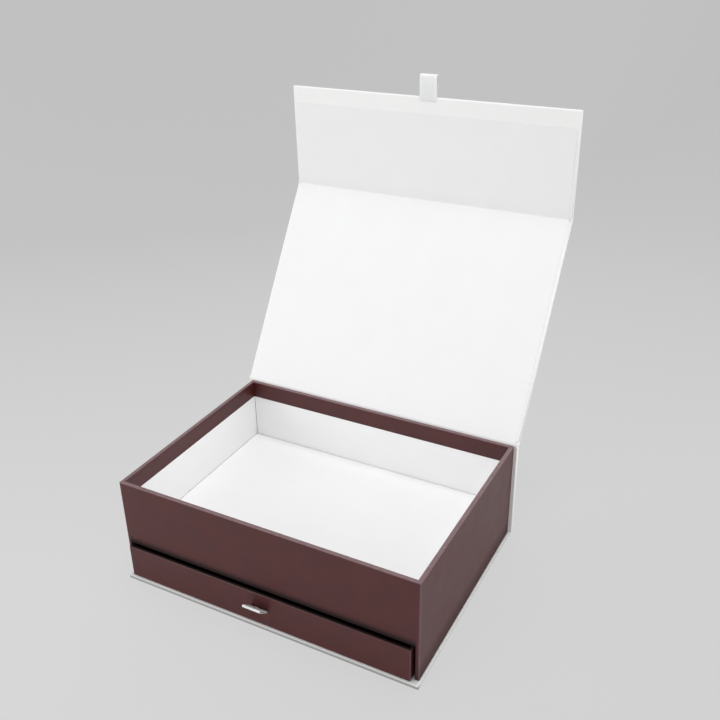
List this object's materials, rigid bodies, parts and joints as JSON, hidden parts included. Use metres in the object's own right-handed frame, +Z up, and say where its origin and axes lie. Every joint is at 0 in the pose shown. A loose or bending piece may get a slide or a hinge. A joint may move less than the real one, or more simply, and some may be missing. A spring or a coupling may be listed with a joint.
{
  "type": "gift box",
  "caption": "Rigid board gift box in a folding wrap-round case: an open tray above a sliding drawer, a hinged lid with a magnetic front flap, and ribbon pulls.",
  "frame": {"origin": "middle of the folding case's underside, where the box stands", "axes": "+Z up, +X along the front to the right, +Y from the drawer front to the spine"},
  "size_m": [0.309, 0.3573, 0.4222],
  "materials": {
    "white_board": "smooth white paper over greyboard",
    "white_wrap": "smooth white wrap",
    "white_lining": "matt white lining",
    "maroon_lining": "dark maroon satin paper",
    "maroon_board": "dark maroon satin paper over greyboard",
    "ribbon": "pale satin ribbon",
    "plated_disc": "plated, hidden under the lining"
  },
  "bodies": {
    "case": {"base_board": "white_board", "base_crease": "white_wrap", "spine_board": "white_board", "lid_crease": "white_wrap", "lid_lining_crease": "white_lining", "front_wall": "maroon_board", "back_wall": "maroon_board", "left_wall": "maroon_board", "right_wall": "maroon_board", "tray_floor": "white_board", "tray_front_lining": "white_lining", "tray_back_lining": "white_lining", "tray_left_lining": "white_lining", "tray_right_lining": "white_lining", "tray_floor_lining": "white_lining"},
    "lid": {"lid_board": "white_board", "lid_lining": "white_lining", "flap_crease": "white_wrap", "flap_lining_crease": "white_lining"},
    "flap": {"flap_board": "white_board", "flap_lining": "white_lining", "flap_ribbon_tail": "ribbon", "left_magnet": "plated_disc", "right_magnet": "plated_disc"},
    "flap_pull": {"flap_ribbon": "ribbon"},
    "drawer": {"drawer_front": "maroon_board", "drawer_back": "maroon_board", "drawer_left_side": "maroon_board", "drawer_right_side": "maroon_board", "drawer_bottom": "maroon_board", "drawer_front_lining": "maroon_lining", "drawer_back_lining": "maroon_lining", "drawer_left_lining": "maroon_lining", "drawer_right_lining": "maroon_lining", "drawer_floor_lining": "maroon_lining", "left_keeper": "plated_disc", "right_keeper": "plated_disc", "drawer_ribbon_tail": "ribbon"},
    "drawer_pull": {"drawer_ribbon": "ribbon"}
  },
  "joints": [
    {"name": "drawer_slide", "type": "slide", "parent": "case", "child": "drawer", "axis": [0, -1, 0], "range_m": [-0.0058, 0.15]},
    {"name": "lid_hinge", "type": "hinge", "parent": "case", "child": "lid", "pos_m": [0, 0.11295, 0.1085], "axis": [-1, 0, 0], "range_deg": [-122.7, 0], "deforming": ["lid_crease", "lid_lining_crease"]},
    {"name": "flap_hinge", "type": "hinge", "parent": "lid", "child": "flap", "pos_m": [0, 0.23283, 0.29523], "axis": [-1, 0, 0], "range_deg": [-56, 34], "deforming": ["flap_crease", "flap_lining_crease"]},
    {"name": "flap_ribbon_fold", "type": "hinge", "parent": "flap", "child": "flap_pull", "pos_m": [0.0012, 0.22969, 0.40069], "axis": [1, 0, 0], "range_deg": [-112, 30], "stiffness_Nm_per_rad": 0.002, "deforming": ["flap_ribbon"]},
    {"name": "drawer_ribbon_fold", "type": "hinge", "parent": "drawer", "child": "drawer_pull", "pos_m": [-0.002, -0.1113, 0.02045], "axis": [1, 0, 0], "range_deg": [-49.5, 130.5], "stiffness_Nm_per_rad": 0.002}
  ]
}
